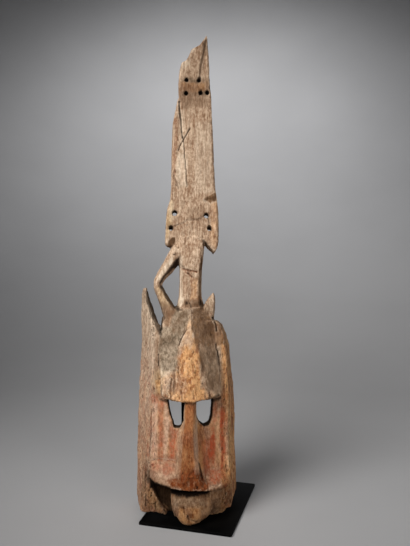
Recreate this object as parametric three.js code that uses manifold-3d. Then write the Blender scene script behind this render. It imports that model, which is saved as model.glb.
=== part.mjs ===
// A carved wooden face mask with a broken plank crest, on its steel display stand.
// Millimetres, +Z up, the face looks along -Y, +X is the viewer's right.
// The origin is on the underside of the base plate, below the mask's middle plane.
import * as THREE from 'three';
import { mergeVertices } from 'three/addons/utils/BufferGeometryUtils.js';
import Module from 'manifold-3d';

const wasm = await Module();
wasm.setup();

// Stand: a flat plate, turned a little against the mask, and a square post.
const PLATE_WIDTH = 187;
const PLATE_DEPTH = 232.5;
const PLATE_THICKNESS = 6;
const PLATE_CENTRE = [27.4, 1.2];
const PLATE_TURN = THREE.MathUtils.degToRad(-20.25);
const POST_SIDE = 12;
const POST_CENTRE = [-5.5, 0];
const POST_TOP = 403;
const SOCKET_DEPTH = 60;
const FIT_GAP = 0.3;

// The box of the mask: two side walls that splay towards the back.
const WALL_FRONT_Y = -60;
const WALL_REAR_Y = 36;
const BEFORE_WALL_Y = WALL_FRONT_Y - 4;
const BEHIND_WALL_Y = WALL_REAR_Y + 4;
const MASK_BOTTOM = 12;
// Each row is a height, then the wall's outer X at its front and at its rear edge.
const LEFT_WALL_STATIONS = [
  [0, -96, -105.5], [70, -86, -104.5], [124, -80, -103.5], [175, -75, -101.5], [256, -71.5, -98.5],
  [308, -72, -94], [347, -72, -91], [425, -73, -92.5], [465, -76, -96],
];
const RIGHT_WALL_STATIONS = [
  [0, 77, 108], [28, 85.5, 108], [62, 86, 107], [131, 79.5, 103.5], [183, 78, 104],
  [252, 79, 100.5], [285, 77, 96], [333, 74, 92], [365, 70.5, 84], [385, 67, 76],
  [396, 61, 66], [403, 52, 56], [410, 44, 48],
];
// Each row is a height and the thickness of both walls there.
const WALL_THICKNESS = [[0, 14], [250, 15], [320, 19], [405, 19], [458, 9]];
const CORD_HOLE_RADIUS = 2.2;
const CORD_HOLE_CENTRES = [[-90, 28, 349], [90, 22, 348]];

// The face: cheek panel, eyes, nose, muzzle and jaw.
const CHEEK_Y_AT_NOSE = -72;
const CHEEK_Y_AT_CORNER = -59;
const CHEEK_THICKNESS = 15;
const BROW_Z = 259;
const BROW_DROOP = 4.5;
const NOSE_FRONT_Y = -105;
const NOSE_SHOULDER_Y = -97;
const NOSE_CORNER = 6.5;
const NOSE_ROOT_Y = -62;
const NOSE_BOTTOM = 85;
const RIM_UNDERSIDE = 79;
const RIM_SLOPE = 0.09;
const MOUTH_GAP = 8;
const MOUTH_LEAN = 0.035;
const JAW_BOTTOM = 10;
const JAW_BACK_Y = -28;
const CHIN_BOTTOM = 7.5;

// The crest: stem, plank with two barbs, crooked strut and broken stump.
const STEM_FRONT_Y = -46;
const STEM_BACK_Y = -14;
const PLANK_FRONT_Y = -38;
const PLANK_BACK_Y = -18;
const PEAK_Z = 944;
const UPPER_HOLES = {
  radius: 3.7, drop: 9, centres: [[-1, 861], [22.5, 861], [-2, 836.5], [25.5, 837.5], [38.2, 838]],
};
const MIDDLE_HOLES = { radius: 4.7, drop: 6.5, centres: [[-24.5, 611], [36.8, 606]] };
const LOWER_HOLES = { radius: 4.5, drop: 11, centres: [[-32, 583], [42.4, 582]] };

const CURVE_STEPS = 20;

/** Turns a closed three.js geometry into a manifold solid. */
function toSolid(geometry) {
  const bare = geometry.clone();
  bare.deleteAttribute('normal');
  bare.deleteAttribute('uv');
  const merged = mergeVertices(bare, 1e-4);
  return new wasm.Manifold(new wasm.Mesh({
    numProp: 3,
    vertProperties: new Float32Array(merged.attributes.position.array),
    triVerts: new Uint32Array(merged.index.array),
  }));
}

/** Turns a manifold solid back into a three.js geometry. */
function toGeometry(solid) {
  const mesh = solid.getMesh();
  const geometry = new THREE.BufferGeometry();
  geometry.setAttribute('position', new THREE.BufferAttribute(mesh.vertProperties, 3));
  geometry.setIndex(new THREE.BufferAttribute(mesh.triVerts, 1));
  geometry.computeVertexNormals();
  return geometry;
}

/** Signed volume of an indexed triangle list, positive when its faces point out. */
function signedVolume(points, triangles) {
  let volume = 0;
  for (const [a, b, c] of triangles) {
    volume += points[a].dot(new THREE.Vector3().crossVectors(points[b], points[c])) / 6;
  }
  return volume;
}

/** Splits a flat ring of points into triangles, seen along one axis (0, 1 or 2). */
function capTriangles(ring, axis) {
  const [u, v] = [0, 1, 2].filter((k) => k !== axis);
  const flat = ring.map((p) => new THREE.Vector2(p.getComponent(u), p.getComponent(v)));
  if (!THREE.ShapeUtils.isClockWise(flat)) return THREE.ShapeUtils.triangulateShape(flat, []);
  const last = ring.length - 1;
  const turned = THREE.ShapeUtils.triangulateShape([...flat].reverse(), []);
  return turned.map((face) => face.map((i) => last - i));
}

/** Closed skin through rings of equal length; axis is the one the caps are seen along. */
function loft(rings, axis) {
  const count = rings[0].length;
  const points = rings.flat().map((p) => new THREE.Vector3(...p));
  const triangles = [];
  for (let r = 0; r < rings.length - 1; r += 1) {
    for (let i = 0; i < count; i += 1) {
      const a = r * count + i;
      const b = r * count + (i + 1) % count;
      triangles.push([a, b, b + count], [a, b + count, a + count]);
    }
  }
  const area = (ring) => {
    const [u, v] = [0, 1, 2].filter((k) => k !== axis);
    return ring.reduce((sum, p, i) => {
      const q = ring[(i + 1) % ring.length];
      return sum + p.getComponent(u) * q.getComponent(v) - q.getComponent(u) * p.getComponent(v);
    }, 0);
  };
  const first = points.slice(0, count);
  const start = (rings.length - 1) * count;
  const last = points.slice(start);
  for (const [ring, offset, isFirst] of [[first, 0, true], [last, start, false]]) {
    for (const face of capTriangles(ring, axis)) {
      const ordered = area(ring) > 0 ? face : [...face].reverse();
      const [a, b, c] = isFirst ? [...ordered].reverse() : ordered;
      triangles.push([a + offset, b + offset, c + offset]);
    }
  }
  const outward = signedVolume(points, triangles) > 0;
  const index = triangles.flatMap(([a, b, c]) => (outward ? [a, b, c] : [a, c, b]));
  const geometry = new THREE.BufferGeometry();
  const numbers = points.flatMap((p) => p.toArray());
  geometry.setAttribute('position', new THREE.Float32BufferAttribute(numbers, 3));
  geometry.setIndex(index);
  return toSolid(geometry);
}

/** Straight-line value between rows of [key, ...values], held at both ends. */
function between(rows, key, column) {
  if (key <= rows[0][0]) return rows[0][column];
  for (let i = 1; i < rows.length; i += 1) {
    if (key <= rows[i][0]) {
      const [low, high] = [rows[i - 1], rows[i]];
      return THREE.MathUtils.mapLinear(key, low[0], high[0], low[column], high[column]);
    }
  }
  return rows[rows.length - 1][column];
}

/** A board seen from the front: [X, Z] outlines at its front and its back face. */
function board(outline, frontY, backY, backOutline = outline) {
  return loft([
    outline.map(([x, z]) => [x, frontY, z]),
    backOutline.map(([x, z]) => [x, backY, z]),
  ], 1);
}

/** A stack of plan rings, each given as a height and its [X, Y] points. */
function stack(levels) {
  return loft(levels.map(([z, ring]) => ring.map(([x, y]) => [x, y, z])), 2);
}

/** Outer X of a side wall at a depth and height. */
function wallX(stations, y, z) {
  const front = between(stations, z, 1);
  const rear = between(stations, z, 2);
  return THREE.MathUtils.mapLinear(y, WALL_FRONT_Y, WALL_REAR_Y, front, rear);
}

/** A side wall: its two splayed faces, trimmed to an outline in depth and height. */
function sideWall(stations, outline) {
  const inward = -Math.sign(stations[0][1]);
  const foot = -10;
  const head = 490;
  const reach = 150;
  const rows = [...stations, ...WALL_THICKNESS].map((row) => row[0]);
  const heights = [...new Set([foot, ...rows, head])].sort((low, high) => low - high);
  const slab = stack(heights.map((z) => {
    const front = wallX(stations, WALL_FRONT_Y, z);
    const rear = wallX(stations, WALL_REAR_Y, z);
    const wall = inward * between(WALL_THICKNESS, z, 1);
    return [z, [
      [front, WALL_FRONT_Y], [rear, WALL_REAR_Y],
      [rear + wall, WALL_REAR_Y], [front + wall, WALL_FRONT_Y],
    ]];
  }));
  const profile = [-reach, reach].map((x) => outline.map(([y, z]) => [x, y, z]));
  return slab.intersect(loft(profile, 0));
}

/** The left wall rises to a pointed ear; its foot is worn away unevenly. */
function leftWall() {
  const top = 463;
  const clear = 480;
  const wall = sideWall(LEFT_WALL_STATIONS, [
    [BEFORE_WALL_Y, 18], [-40, 13], [-11, 9], [6, 8], [20, 8.5], [BEHIND_WALL_Y, 11],
    [BEHIND_WALL_Y, 399], [31, 427], [17, 446], [-8, top], [BEFORE_WALL_Y, top],
  ]);
  const besideEar = board([
    [-50, 401], [-56.5, 397], [-61, 401], [-71, 423], [-78, 443], [-82.5, top], [-83, clear],
    [20, clear], [20, 394],
  ], BEFORE_WALL_Y, BEHIND_WALL_Y, [
    [-49, 393], [-54, 395], [-57.5, 405], [-66, 428], [-72.5, 441], [-77, top], [-77.5, clear],
    [20, clear], [20, 390],
  ]);
  return wall.subtract(besideEar);
}

/** The right wall has lost its ear and ends in a worn, rounded top. */
function rightWall() {
  return sideWall(RIGHT_WALL_STATIONS, [
    [BEFORE_WALL_Y, 23], [-46, 15], [-20, MASK_BOTTOM], [24, MASK_BOTTOM], [BEHIND_WALL_Y, 18],
    [BEHIND_WALL_Y, 340], [28, 362], [5, 382], [-30, 399], [BEFORE_WALL_Y, 405],
  ]);
}

/** The cheek panel between the walls, set back deepest beside the nose. */
function cheekPanel() {
  const nearNose = 27;
  const level = (z) => {
    const left = wallX(LEFT_WALL_STATIONS, WALL_FRONT_Y, z) + 1;
    const right = wallX(RIGHT_WALL_STATIONS, WALL_FRONT_Y, z) - 1;
    const front = [
      [left, CHEEK_Y_AT_CORNER], [-nearNose, CHEEK_Y_AT_NOSE],
      [nearNose, CHEEK_Y_AT_NOSE], [right, CHEEK_Y_AT_CORNER],
    ];
    const back = [...front].reverse().map(([x, y]) => [x, y + CHEEK_THICKNESS]);
    return [z, [...front, ...back]];
  };
  return stack([76, 124, 180, 256, BROW_Z + 20].map(level));
}

/** The broken splinter that hangs at the lower left corner. */
function splinter() {
  return board([
    [-76, 78], [-64, 49], [-55, 32], [-44, 18], [-43, 12], [-49, 8], [-54, 13],
    [-78, 18], [-89, 18], [-84, 78],
  ], CHEEK_Y_AT_CORNER - 2, CHEEK_Y_AT_CORNER + CHEEK_THICKNESS);
}

/** The forehead: a leaning gable that is closed above as the roof of the box. */
function forehead() {
  const level = (z, left, leftY, ridgeX, ridgeY, flat, right, rightY, backY) => {
    const midLeft = (left + ridgeX - flat) / 2;
    const midRight = (right + ridgeX + flat) / 2;
    const swell = 2;
    return [z, [
      [left, leftY],
      [midLeft, (leftY + ridgeY) / 2 - swell],
      [ridgeX - flat, ridgeY],
      [ridgeX + flat, ridgeY],
      [midRight, (rightY + ridgeY) / 2 - swell],
      [right, rightY],
      [right, backY],
      [left, backY],
    ]];
  };
  const browRing = level(BROW_Z, -54, -87, -2, -106, 13, 61, -83, -40)[1];
  const droop = ([x, y]) => {
    const share = THREE.MathUtils.clamp(THREE.MathUtils.mapLinear(y, -84, -104, 0, 1), 0, 1);
    return [x, y, BROW_Z - BROW_DROOP * share];
  };
  const above = [
    level(290, -55, -80, 0, -100, 9, 60, -76, -38),
    level(330, -58, -70, 4, -90, 3, 58, -67, -20),
    level(355, -56, -64, 5, -83, 1.5, 54, -62, 0),
    level(380, -53, -57, 5, -77, 1.5, 50, -56, 12),
    level(398, -50, -51, 5, -72, 1.5, 50, -52, 14),
    level(412, -41, -46, 4, -67, 1.5, 44, -46, 4),
    level(428, -20, -42, 3, -62, 2.5, 31, -42, -14),
  ];
  return loft([browRing.map(droop), ...above.map(([z, ring]) => ring.map(([x, y]) => [x, y, z]))], 2);
}

/** The nose: a straight bar, narrow between the eyes and flared at its foot. */
function nose() {
  const level = (z, baseLeft, baseRight, shoulderLeft, shoulderRight) => [z, [
    [baseLeft, NOSE_ROOT_Y],
    [baseLeft, CHEEK_Y_AT_NOSE],
    [shoulderLeft, NOSE_SHOULDER_Y],
    [shoulderLeft + NOSE_CORNER, NOSE_FRONT_Y],
    [shoulderRight - NOSE_CORNER, NOSE_FRONT_Y],
    [shoulderRight, NOSE_SHOULDER_Y],
    [baseRight, CHEEK_Y_AT_NOSE],
    [baseRight, NOSE_ROOT_Y],
  ]];
  return stack([
    level(NOSE_BOTTOM, -36, 38, -26, 28),
    level(118, -30, 31, -19, 17.5),
    level(150, -28, 29, -16.5, 13.5),
    level(180, -25, 26, -13, 11.5),
    level(196, -21, 22, -12, 11.5),
    level(212, -12.5, 16, -11, 12),
    level(BROW_Z + 3, -6, 14, -10, 13.3),
  ]);
}

/** Half-oval plan ring that bulges to the front and is closed by a flat back. */
function bowRing(halfLeft, halfRight, sideY, frontY, backY, roundness = 2) {
  const ring = [];
  for (let i = 0; i <= CURVE_STEPS; i += 1) {
    const angle = Math.PI * (i / CURVE_STEPS - 0.5);
    const half = angle < 0 ? halfLeft : halfRight;
    const reach = Math.cos(angle) ** (2 / roundness);
    ring.push([half * Math.sin(angle), sideY + (frontY - sideY) * reach]);
  }
  ring.push([halfRight, backY], [-halfLeft, backY]);
  return ring;
}

/** A bow ring at a height that falls towards +X by the given slope. */
function leaningRing(ring, z, slope) {
  return ring.map(([x, y]) => [x, y, z - slope * x]);
}

/** The upper lip: a bevelled shelf that juts out below the nose. */
function muzzle() {
  return loft([
    leaningRing(bowRing(79, 82, -54, -73, -48), 110, 0.18),
    leaningRing(bowRing(80, 86, -50, -101, -48), 89, 0.1),
    leaningRing(bowRing(80, 87, -48, -107, -48), 86, RIM_SLOPE),
    leaningRing(bowRing(80, 87, -48, -108, -48), RIM_UNDERSIDE, RIM_SLOPE),
  ], 2);
}

/** The lower jaw: a bowed block under an open mouth, its left part rotted away. */
function jaw() {
  const mouthFloor = RIM_UNDERSIDE - MOUTH_GAP;
  const lean = (z) => THREE.MathUtils.mapLinear(z, JAW_BOTTOM, mouthFloor, 0, MOUTH_LEAN);
  const block = loft([
    [JAW_BOTTOM, bowRing(70, 72, -50, -72, JAW_BACK_Y)],
    [20, bowRing(75, 81, -51, -80, JAW_BACK_Y)],
    [34, bowRing(78, 85, -52, -89, JAW_BACK_Y)],
    [52, bowRing(80, 86, -52, -97, JAW_BACK_Y)],
    [mouthFloor - 4, bowRing(80, 86, -52, -97, JAW_BACK_Y)],
    [mouthFloor, bowRing(80, 86, -51, -94, JAW_BACK_Y)],
    [mouthFloor + 1, bowRing(76, 82, -44, -82, JAW_BACK_Y)],
    [96, bowRing(76, 82, -44, -82, JAW_BACK_Y)],
  ].map(([z, ring]) => leaningRing(ring, z, -lean(z))), 2);
  const brokenAway = board([
    [-120, -5], [-25, -5], [-33, 22], [-37, 45], [-36, 60], [-40, 77], [-120, 77],
  ], -130, JAW_BACK_Y - 18);
  const hollowedFoot = board([
    [-120, -5], [-40, -5], [-44, 16], [-62, 26], [-90, 24], [-120, 24],
  ], WALL_FRONT_Y, 0);
  return block.subtract(brokenAway).subtract(hollowedFoot);
}

/** The chin: a rounded knob that hangs lower than the jaw and runs out into it on the right. */
function chin() {
  const apexX = -3;
  const ring = (left, right, frontY, backY) => {
    const depth = (backY - frontY) / 2;
    const points = [];
    for (let i = 0; i < CURVE_STEPS; i += 1) {
      const angle = 2 * Math.PI * i / CURVE_STEPS;
      const across = Math.sin(angle);
      const half = across < 0 ? apexX - left : right - apexX;
      points.push([apexX + half * across, frontY + depth - depth * Math.cos(angle)]);
    }
    return points;
  };
  return stack([
    [CHIN_BOTTOM, ring(-11, 4, -103, -92)],
    [12, ring(-19, 20, -107, -82)],
    [21, ring(-26, 36, -109, -74)],
    [34, ring(-33, 45, -109, -66)],
    [50, ring(-36, 47, -106, -64)],
    [67, ring(-38, 43, -97, -66)],
  ]);
}

/** Both eye holes: tall openings whose sides flare towards the front. */
function eyeHoles() {
  const frontY = -78;
  const backY = -42;
  const top = 255;
  const left = board([
    [-45.5, top], [-41, 229], [-36, 213], [-32, 194], [-16, 193.5], [-6, 214], [-5.5, top],
  ], frontY, backY, [
    [-36, top], [-32.5, 226], [-29, 210], [-23.5, 199], [-19, 197.5], [-7, 212], [-6.5, top],
  ]);
  const right = board([
    [11, top], [12.5, 219], [20, 202], [30, 193], [43, 195], [49, 216], [52, top],
  ], frontY, backY, [
    [16, top], [17, 218], [20.5, 205], [29, 200.5], [33, 205], [37, 214], [39.5, top],
  ]);
  return left.add(right);
}

/** The hollow of the box, open at the back and below. */
function hollow() {
  const splay = 24;
  const behind = WALL_REAR_Y + 30;
  const ring = (halfLeft, halfRight, frontY) => [
    [-halfLeft - splay, behind], [-halfLeft, frontY], [halfRight, frontY],
    [halfRight + splay, behind],
  ];
  return stack([
    [BROW_Z - 20, ring(58, 60, -46)],
    [BROW_Z + 15, ring(56, 58, -54)],
    [330, ring(44, 45, -46)],
    [384, ring(36, 38, -34)],
    [393, ring(28, 30, -22)],
  ]);
}

/** The stem that carries the plank, with worn corners. */
function stem() {
  const level = (z, left, right, bulge = 0) => [z, [
    [left, STEM_BACK_Y - 5],
    [left, STEM_FRONT_Y + 15],
    [left + 10, STEM_FRONT_Y - bulge],
    [right - 5.5, STEM_FRONT_Y - bulge],
    [right, STEM_FRONT_Y + 9],
    [right, STEM_BACK_Y - 6],
    [right - 7, STEM_BACK_Y],
    [left + 7, STEM_BACK_Y],
  ]];
  return stack([
    level(405, -24, 36, 2),
    level(430, -20, 32),
    level(446, -17, 27.5),
    level(474, -15, 27.5),
    level(502, -16, 28.7),
    level(528, -21, 31.2),
    level(548, -26, 33.5, -3),
    level(566, -24, 30, -7),
  ]);
}

/** The plank: splintered at the top, with two barbs above its foot. */
function plank() {
  const sides = [
    [48.5, 779], [51.5, 712], [55, 655], [57.8, 634], [60.5, 610], [61, 560], [59.3, 548],
  ];
  const leftSide = [
    [-43.5, 560], [-41.5, 590], [-39.5, 616], [-33, 636], [-31, 655], [-30, 712],
    [-27.5, 779], [-18.5, 822], [-17, 826], [-11, 806], [-16, 832], [-16.5, 855],
    [-13.5, 880], [-10, 893], [-2, 897], [2, 903], [9, 918], [16, 921], [24, 925],
    [30, 934],
  ];
  const barbFront = [[57, 541], [52, 534.5], [34.5, 556]];
  const barbBack = [[57, 536], [51.5, 526], [32, 546.5]];
  const foot = [[28, 540], [-24, 540], [-28, 548]];
  const stubFront = [[-40, 547], [-44, 552]];
  const stubBack = [[-36, 541], [-43, 545]];
  const top = [[37, PEAK_Z], [39.5, 936], [41.5, 893], [44, 852], [46.5, 822]];
  const outline = [...sides, ...barbFront, ...foot, ...stubFront, ...leftSide, ...top];
  const back = [...sides, ...barbBack, ...foot, ...stubBack, ...leftSide, ...top];
  return board(outline, PLANK_FRONT_Y, PLANK_BACK_Y, back);
}

/** Holes for the lashings of the lost crossbars; each drops towards the back. */
function lashingHoles() {
  const length = 40;
  const middleY = (PLANK_FRONT_Y + PLANK_BACK_Y) / 2;
  const drill = ({ radius, drop }, [x, z]) => {
    const hole = new THREE.CylinderGeometry(radius, radius, length, 10);
    hole.rotateX(Math.atan2(-drop, PLANK_BACK_Y - PLANK_FRONT_Y));
    hole.translate(x, middleY, z - drop / 2);
    return toSolid(hole);
  };
  const groups = [UPPER_HOLES, MIDDLE_HOLES, LOWER_HOLES];
  const holes = groups.flatMap((group) => group.centres.map((centre) => drill(group, centre)));
  return holes.reduce((all, hole) => all.add(hole));
}

/** The crooked strut from the roof up to the stem; its inner side is cut back at a slant. */
function strut() {
  const corner = 4;
  const outerBevel = [5, 9];
  const innerBevel = [3, 13];
  // Each row is X and Z of the axis, width, front and back Y, and how far the slant spreads.
  const stations = [
    [-30, 398, 26, -52, -22, 2],
    [-36.5, 416, 26, -50, -22, 3],
    [-44, 432, 21, -47, -22, 3.5],
    [-52.5, 449, 17, -44, -22, 4],
    [-59.5, 466, 15, -42, -21, 4],
    [-59, 477, 15, -41, -20, 4],
    [-51.3, 490.8, 17, -41, -19, 5],
    [-41.5, 505, 19.5, -42, -18, 7],
    [-30, 524, 21.5, -43, -17, 9],
    [-18, 543, 24, -44, -17, 9],
  ];
  return loft(stations.map(([x, z, width, frontY, backY, spread], i) => {
    const before = stations[Math.max(i - 1, 0)];
    const after = stations[Math.min(i + 1, stations.length - 1)];
    const run = new THREE.Vector2(after[0] - before[0], after[1] - before[1]).normalize();
    const at = (side, y) => [x - run.y * side, y, z + run.x * side];
    const outer = width / 2;
    const inner = -width / 2;
    return [
      at(inner - spread, frontY + innerBevel[1]), at(inner + innerBevel[0], frontY),
      at(outer - outerBevel[0], frontY), at(outer, frontY + outerBevel[1]),
      at(outer, backY - corner), at(outer - corner, backY),
      at(inner - spread + corner, backY), at(inner - spread, backY - corner),
    ];
  }), 2);
}

/** The stump of the lost strut on the other side, broken to a point. */
function stump() {
  return stack([
    [398, [[28, -52], [47, -52], [52, -36], [50, -20], [28, -20]]],
    [420, [[30, -52], [50, -52], [54, -38], [53, -22], [32, -22]]],
    [436, [[34, -50], [51, -51], [55, -38], [54, -24], [36, -24]]],
    [446, [[42, -48], [51, -49], [54, -38], [53, -27], [43, -27]]],
    [455, [[49, -44], [51, -44], [52, -38], [52, -32], [49, -33]]],
  ]);
}

/** Small cord holes through both walls near their rear edges. */
function cordHoles() {
  const length = 60;
  const holes = CORD_HOLE_CENTRES.map((centre) => {
    const hole = new THREE.CylinderGeometry(CORD_HOLE_RADIUS, CORD_HOLE_RADIUS, length, 8);
    hole.rotateZ(Math.PI / 2);
    hole.translate(...centre);
    return toSolid(hole);
  });
  return holes[0].add(holes[1]);
}

/** Socket under the roof for the head of the post. */
function postSocket() {
  const side = POST_SIDE + 2 * FIT_GAP;
  const pocket = new THREE.BoxGeometry(side, side, SOCKET_DEPTH);
  const roof = POST_TOP + FIT_GAP;
  pocket.translate(POST_CENTRE[0], POST_CENTRE[1], roof - SOCKET_DEPTH / 2);
  return toSolid(pocket);
}

/** The whole mask, carved from one piece of wood. */
function maskGeometry() {
  const box = leftWall().add(rightWall()).add(cheekPanel()).add(splinter());
  const brow = forehead().subtract(hollow());
  const face = box.add(brow).add(nose()).add(muzzle()).add(jaw()).add(chin());
  const crest = stem().add(plank()).add(strut()).add(stump());
  const cuts = eyeHoles().add(lashingHoles()).add(cordHoles()).add(postSocket());
  return toGeometry(face.add(crest).subtract(cuts));
}

/** The base plate, standing on the surface. */
function platePiece(material) {
  const plate = new THREE.Mesh(
    new THREE.BoxGeometry(PLATE_WIDTH, PLATE_DEPTH, PLATE_THICKNESS), material,
  );
  plate.name = 'stand_plate';
  plate.position.set(PLATE_CENTRE[0], PLATE_CENTRE[1], PLATE_THICKNESS / 2);
  plate.rotation.z = PLATE_TURN;
  return plate;
}

/** The post, from just above the plate into its socket under the roof. */
function postPiece(material) {
  const foot = PLATE_THICKNESS + FIT_GAP;
  const post = new THREE.Mesh(
    new THREE.BoxGeometry(POST_SIDE, POST_SIDE, POST_TOP - foot), material,
  );
  post.name = 'stand_post';
  post.position.set(POST_CENTRE[0], POST_CENTRE[1], (foot + POST_TOP) / 2);
  return post;
}

const weatheredWood = new THREE.MeshStandardMaterial({
  color: 0xb4997e, roughness: 0.9, metalness: 0,
});
const blackSteel = new THREE.MeshStandardMaterial({
  color: 0x0b0b0c, roughness: 0.45, metalness: 0.6,
});

const part = new THREE.Group();
const mask = new THREE.Mesh(maskGeometry(), weatheredWood);
mask.name = 'mask';
part.add(mask);
part.add(platePiece(blackSteel));
part.add(postPiece(blackSteel.clone()));

export default part;
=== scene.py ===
"""Looks of a carved Dogon mask with a broken plank crest, on its black steel stand.

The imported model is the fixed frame: metres, +Z up, the face looks along -Y and
+X is the viewer's right. Sizes of the pieces and the tables of marks on the wood
are in millimetres, and the studio is in metres.
"""

import logging
import math
from collections.abc import Iterator
from contextlib import contextmanager
from dataclasses import dataclass
from enum import Enum
from functools import partial, reduce
from itertools import product

import bpy
import numpy as np
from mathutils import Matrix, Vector

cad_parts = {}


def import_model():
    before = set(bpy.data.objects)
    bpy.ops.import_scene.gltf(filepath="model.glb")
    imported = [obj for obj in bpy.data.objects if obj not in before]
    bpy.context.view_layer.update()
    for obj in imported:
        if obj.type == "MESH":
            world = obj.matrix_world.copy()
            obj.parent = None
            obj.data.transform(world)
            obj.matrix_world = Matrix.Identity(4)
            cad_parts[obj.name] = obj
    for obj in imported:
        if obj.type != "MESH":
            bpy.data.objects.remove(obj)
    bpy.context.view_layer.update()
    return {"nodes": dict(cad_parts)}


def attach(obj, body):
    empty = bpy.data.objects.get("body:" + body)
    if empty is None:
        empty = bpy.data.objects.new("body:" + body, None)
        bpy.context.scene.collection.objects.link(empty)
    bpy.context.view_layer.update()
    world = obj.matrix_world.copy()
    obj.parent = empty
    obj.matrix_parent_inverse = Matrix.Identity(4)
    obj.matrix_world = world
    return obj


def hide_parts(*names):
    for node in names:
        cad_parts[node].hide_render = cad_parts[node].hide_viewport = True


MM = 0.001
BODY = "root"
NO_LIMIT = -math.inf
MIX_SHARE, MIX_UNDER, MIX_OVER = 0, 6, 7
LOG = logging.getLogger("dogon_mask")

Colour = tuple[float, float, float]
Point2 = tuple[float, float]


def linear(*screen: int) -> Colour:
    """Turns a tone as seen on a screen, 0 to 255, into scene light."""
    return tuple(v / 12.92 if v <= 0.04045 else ((v + 0.055) / 1.055) ** 2.4
                 for v in (level / 255 for level in screen))


def ramp(low: float, high: float, values: np.ndarray) -> np.ndarray:
    """Rises smoothly from 0 to 1 between low and high, or falls if high is the lesser."""
    t = np.clip((values - low) / (high - low), 0.0, 1.0)
    return t * t * (3.0 - 2.0 * t)


def pairs(row: tuple[float, ...]) -> tuple[Point2, ...]:
    """Takes the X and Z values of a row two by two."""
    return tuple(zip(row[::2], row[1::2]))


def add(name: str, data: bpy.types.ID) -> bpy.types.Object:
    """Adds one object to the scene and leaves it alone selected and active."""
    piece = bpy.data.objects.new(name, data)
    bpy.context.scene.collection.objects.link(piece)
    bpy.ops.object.select_all(action="DESELECT")
    piece.select_set(True)
    bpy.context.view_layer.objects.active = piece
    return piece


@contextmanager
def editing() -> Iterator[None]:
    """Opens the active piece's mesh with all of it selected."""
    bpy.ops.object.mode_set(mode="EDIT")
    bpy.ops.mesh.select_all(action="SELECT")
    yield
    bpy.ops.object.mode_set(mode="OBJECT")


class Lattice:
    """Seeded noise on a lattice, the same on every run."""

    @staticmethod
    def _corner(cell: np.ndarray, seed: int) -> np.ndarray:
        """Gives each lattice cell its fixed number.

        Args:
            cell: Whole-number cells, one row each.
            seed: Which pattern.

        Returns:
            Numbers from -1 to 1.
        """
        with np.errstate(over="ignore"):
            x, y, z = (cell[:, k].astype(np.uint32) for k in range(3))
            h = x * np.uint32(374761393) + y * np.uint32(668265263)
            h = h + z * np.uint32(2246822519) + np.uint32(seed * 97 + 13)
            h = (h ^ (h >> np.uint32(13))) * np.uint32(1274126177)
            h = (h ^ (h >> np.uint32(15))) * np.uint32(2246822519)
            h = h ^ (h >> np.uint32(16))
        return (h & np.uint32(0xFFFFFF)).astype(np.float64) / 0x7FFFFF - 1.0

    @classmethod
    def single(cls, points: np.ndarray, size: tuple, seed: int) -> np.ndarray:
        """One layer of smooth noise.

        Args:
            points: Places in millimetres.
            size: Width of one lump along X, Y and Z.
            seed: Which pattern.

        Returns:
            Noise from -1 to 1 at each point.
        """
        scaled = points / np.asarray(size, float) + 1000.0
        base = np.floor(scaled).astype(np.int64)
        t = scaled - base
        t = t * t * (3.0 - 2.0 * t)
        ends = (1.0 - t, t)
        total = np.zeros(len(points))
        for dx, dy, dz in product((0, 1), repeat=3):
            weight = ends[dx][:, 0] * ends[dy][:, 1] * ends[dz][:, 2]
            total += weight * cls._corner(base + (dx, dy, dz), seed)
        return total

    @classmethod
    def layers(cls, points: np.ndarray, size: tuple, seed: int, count: int = 3) -> np.ndarray:
        """Several layers of noise, each finer and weaker.

        Args:
            points: Places in millimetres.
            size: Width of the coarsest lumps along X, Y and Z.
            seed: Which pattern.
            count: How many layers.

        Returns:
            Noise of about -1 to 1 at each point.
        """
        total = np.zeros(len(points))
        weight = 1.0
        for layer in range(count):
            finer = tuple(s / 2.03**layer for s in size)
            total += weight * cls.single(points, finer, seed + 31 * layer)
            weight *= 0.55
        return total / 1.25


class Tone(Enum):
    """What lies on the wood at a place, or the shade or light painted on it, in the order of the stored
    layers.
    """

    # CREVICE is painted shade, with the dirt in cracks; SHADE darkens, mostly as painted shade; DARK is
    # partly painted shade and PALE partly painted light.
    RED = 0
    CHALK = 1
    BARE = 2
    GREY = 3
    DARK = 4
    PALE = 5
    CREVICE = 6
    EDGE = 7
    RUST = 8
    CHECK = 9
    OCHRE = 10
    SHADE = 11


RED, CHALK, BARE, GREY, DARK, PALE, CREVICE, EDGE, RUST, CHECK, OCHRE, SHADE = Tone
# Colour layers of the mesh, with three tones each, in the order of Tone. Besides paint, age, wear and dirt
# they hold painted shade, and the second layer painted light too.
LAYER_NAMES = ("wood_paint", "wood_age_light_and_shade", "wood_wear_and_shade", "wood_dirt_and_shade")


@dataclass(frozen=True)
class Score:
    """A crack, cut or groove along a path on the front, darkened by stains and painted shade; a negative
    value lightens it.
    """

    width: float
    depth: float
    stain_and_shade: float
    wander: float
    far: float
    path: tuple[Point2, ...]


@dataclass(frozen=True)
class Patch:
    """An area of paint, stains, patina, bare wood, painted shade or painted light, outlined as seen from
    the front.
    """

    tone: Tone
    strength: float
    soft: float
    ragged: float
    near: float
    far: float
    all_round: bool
    outline: tuple[Point2, ...]
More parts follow.
